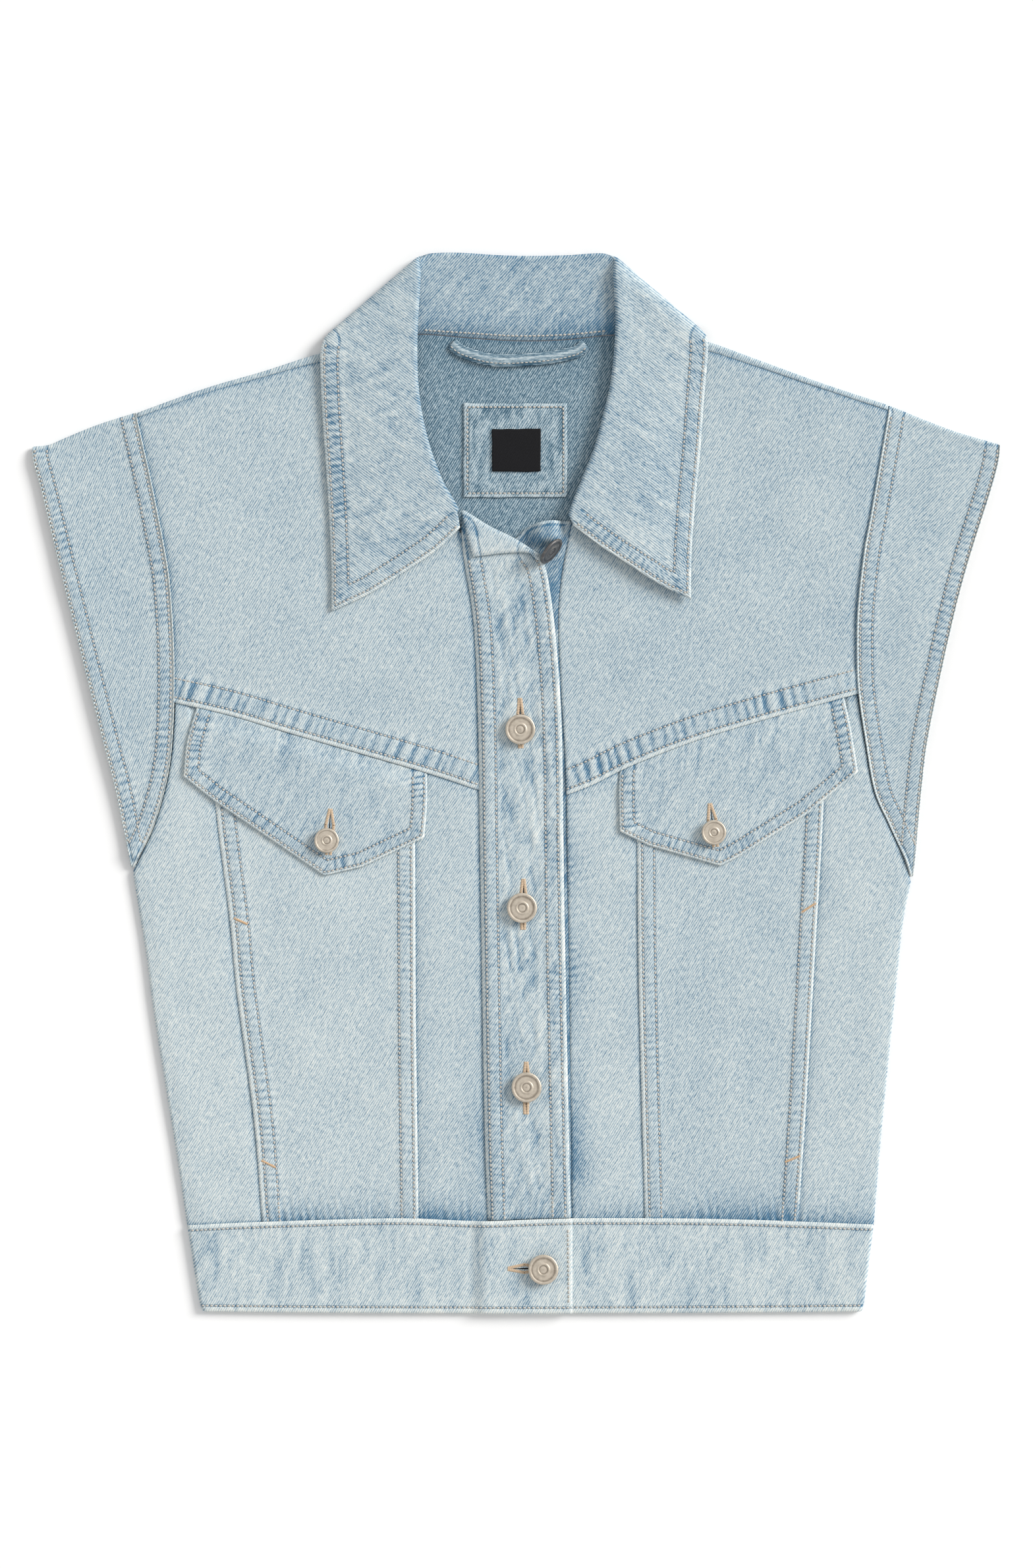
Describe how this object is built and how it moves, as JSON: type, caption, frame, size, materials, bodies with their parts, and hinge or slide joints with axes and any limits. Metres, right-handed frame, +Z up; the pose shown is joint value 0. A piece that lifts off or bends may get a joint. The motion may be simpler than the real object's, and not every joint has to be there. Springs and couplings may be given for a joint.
{
  "type": "denim vest",
  "caption": "Cropped light-wash denim vest with cap sleeves, pointed chest flaps, a front placket with metal buttons and a folded collar, laid flat with its front up.",
  "frame": {"origin": "centre of the outline on the plane that the back lies on", "axes": "+Z up from that plane, +Y towards the collar, +X towards the wearer's left side"},
  "size_m": [0.5463, 0.5982, 0.0189],
  "materials": {
    "denim": "light-wash twill",
    "denim_inside": "inside of light-wash twill",
    "label_cloth": "smooth woven",
    "button_metal": "satin"
  },
  "bodies": {
    "root": {"back_panel": "denim_inside", "yoke_left": "denim", "yoke_right": "denim", "side_panel_left": "denim", "side_panel_right": "denim", "pocket_panel_left": "denim", "pocket_panel_right": "denim", "centre_front_left": "denim", "centre_front_right": "denim", "sleeve_left": "denim", "sleeve_right": "denim", "placket_under": "denim", "placket_top": "denim", "waistband": "denim", "flap_left": "denim", "flap_right": "denim", "collar": "denim", "hanger_loop": "denim", "patch": "denim", "label": "label_cloth", "button_upper": "button_metal", "button_middle": "button_metal", "button_lower": "button_metal", "button_waistband": "button_metal", "button_flap_left": "button_metal", "button_flap_right": "button_metal", "button_neck": "button_metal"}
  },
  "joints": []
}
